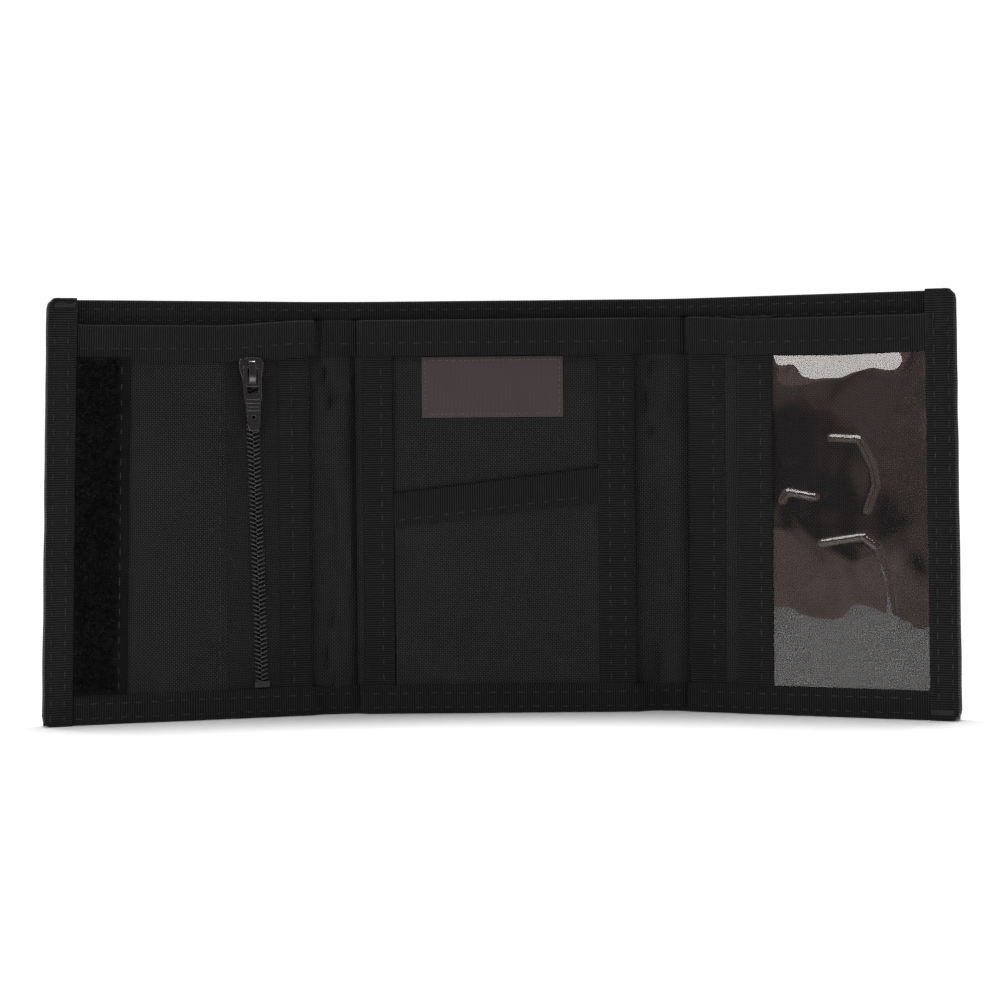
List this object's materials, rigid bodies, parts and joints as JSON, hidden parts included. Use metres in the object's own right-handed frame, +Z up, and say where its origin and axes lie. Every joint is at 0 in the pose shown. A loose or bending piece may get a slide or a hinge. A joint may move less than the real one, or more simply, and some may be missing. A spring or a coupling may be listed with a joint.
{
  "type": "trifold wallet",
  "caption": "Black nylon trifold wallet, open and standing: bill compartment, zipped coin pocket, card pockets, clear window and hook-and-loop closure.",
  "frame": {"origin": "middle of the centre panel's bottom edge, in the plane that the folds turn in, on the surface that the wallet stands on", "axes": "+X along the wallet to the right seen from the inside, +Y from the inside out through the shell, +Z up"},
  "size_m": [0.2672, 0.0375, 0.1254],
  "materials": {
    "shell_nylon": "tight matt nylon weave",
    "lining_nylon": "tight matt nylon weave",
    "grosgrain": "ribbed tape with a soft sheen",
    "loop_pile": "fuzzy loop pile",
    "hook_tape": "rows of fine hooks",
    "clear_vinyl": "clear glossy film",
    "zip_tape": "woven tape",
    "zip_coil": "satin coil",
    "black_metal": "glossy black enamel",
    "label_satin": "woven satin"
  },
  "bodies": {
    "centre": {"blank_label": "label_satin", "card_pocket_binding": "grosgrain", "card_pocket_panel": "lining_nylon", "centre_bottom_binding": "grosgrain", "centre_inner_panel": "lining_nylon", "centre_inner_top_binding": "grosgrain", "centre_outer_shell": "shell_nylon", "centre_outer_top_binding": "grosgrain", "seam_tape": "grosgrain", "slant_pocket_binding": "grosgrain", "slant_pocket_panel": "lining_nylon"},
    "left_spine": {"left_spine_bottom_binding": "grosgrain", "left_spine_inner_panel": "lining_nylon", "left_spine_inner_top_binding": "grosgrain", "left_spine_outer_shell": "shell_nylon", "left_spine_outer_top_binding": "grosgrain"},
    "left_wing": {"left_side_binding": "grosgrain", "left_wing_bottom_binding": "grosgrain", "left_wing_inner_panel": "lining_nylon", "left_wing_inner_top_binding": "grosgrain", "left_wing_outer_shell": "shell_nylon", "left_wing_outer_top_binding": "grosgrain", "loop_strip": "loop_pile", "zip_bottom_stop": "black_metal", "zip_coil_end_side": "zip_coil", "zip_coil_fold_side": "zip_coil", "zip_edge_binding": "grosgrain", "zip_pocket_front": "lining_nylon", "zip_tape_end_side": "zip_tape", "zip_tape_fold_side": "zip_tape", "zip_top_stops": "black_metal"},
    "right_spine": {"right_spine_bottom_binding": "grosgrain", "right_spine_inner_panel": "lining_nylon", "right_spine_inner_top_binding": "grosgrain", "right_spine_outer_shell": "shell_nylon", "right_spine_outer_top_binding": "grosgrain"},
    "right_wing": {"card_slot_binding": "grosgrain", "card_slot_panel": "lining_nylon", "hook_strip": "hook_tape", "right_side_binding": "grosgrain", "right_wing_bottom_binding": "grosgrain", "right_wing_inner_panel": "lining_nylon", "right_wing_inner_top_binding": "grosgrain", "right_wing_outer_shell": "shell_nylon", "right_wing_outer_top_binding": "grosgrain", "window_binding": "grosgrain", "window_pane": "clear_vinyl"},
    "zip_slider": {"zip_slider": "black_metal"},
    "zip_puller": {"zip_puller": "black_metal"}
  },
  "joints": [
    {"name": "left_spine_fold", "type": "hinge", "parent": "centre", "child": "left_spine", "pos_m": [-0.04515, 0, 0], "axis": [0, 0, 1], "range_deg": [-8.5, 80.5]},
    {"name": "left_wing_fold", "type": "hinge", "parent": "left_spine", "child": "left_wing", "pos_m": [-0.0591, -0.00209, 0], "axis": [0, 0, 1], "range_deg": [-8.5, 80.5]},
    {"name": "right_spine_fold", "type": "hinge", "parent": "centre", "child": "right_spine", "pos_m": [0.04515, 0, 0], "axis": [0, 0, -1], "range_deg": [-11, 79]},
    {"name": "right_wing_fold", "type": "hinge", "parent": "right_spine", "child": "right_wing", "pos_m": [0.0529, -0.00151, 0], "axis": [0, 0, -1], "range_deg": [-11, 79]},
    {"name": "zip_slide", "type": "slide", "parent": "left_wing", "child": "zip_slider", "axis": [0.0234, 0.0071, -0.9997], "range_m": [0, 0.084]},
    {"name": "puller_swing", "type": "hinge", "parent": "zip_slider", "child": "zip_puller", "pos_m": [-0.07662, -0.0123, 0.10535], "axis": [-0.956, -0.2923, -0.0244], "range_deg": [0, 180]}
  ],
  "couplings": [
    {"joint": "left_wing_fold", "follows": "left_spine_fold", "ratio": 1},
    {"joint": "right_wing_fold", "follows": "right_spine_fold", "ratio": 1}
  ]
}
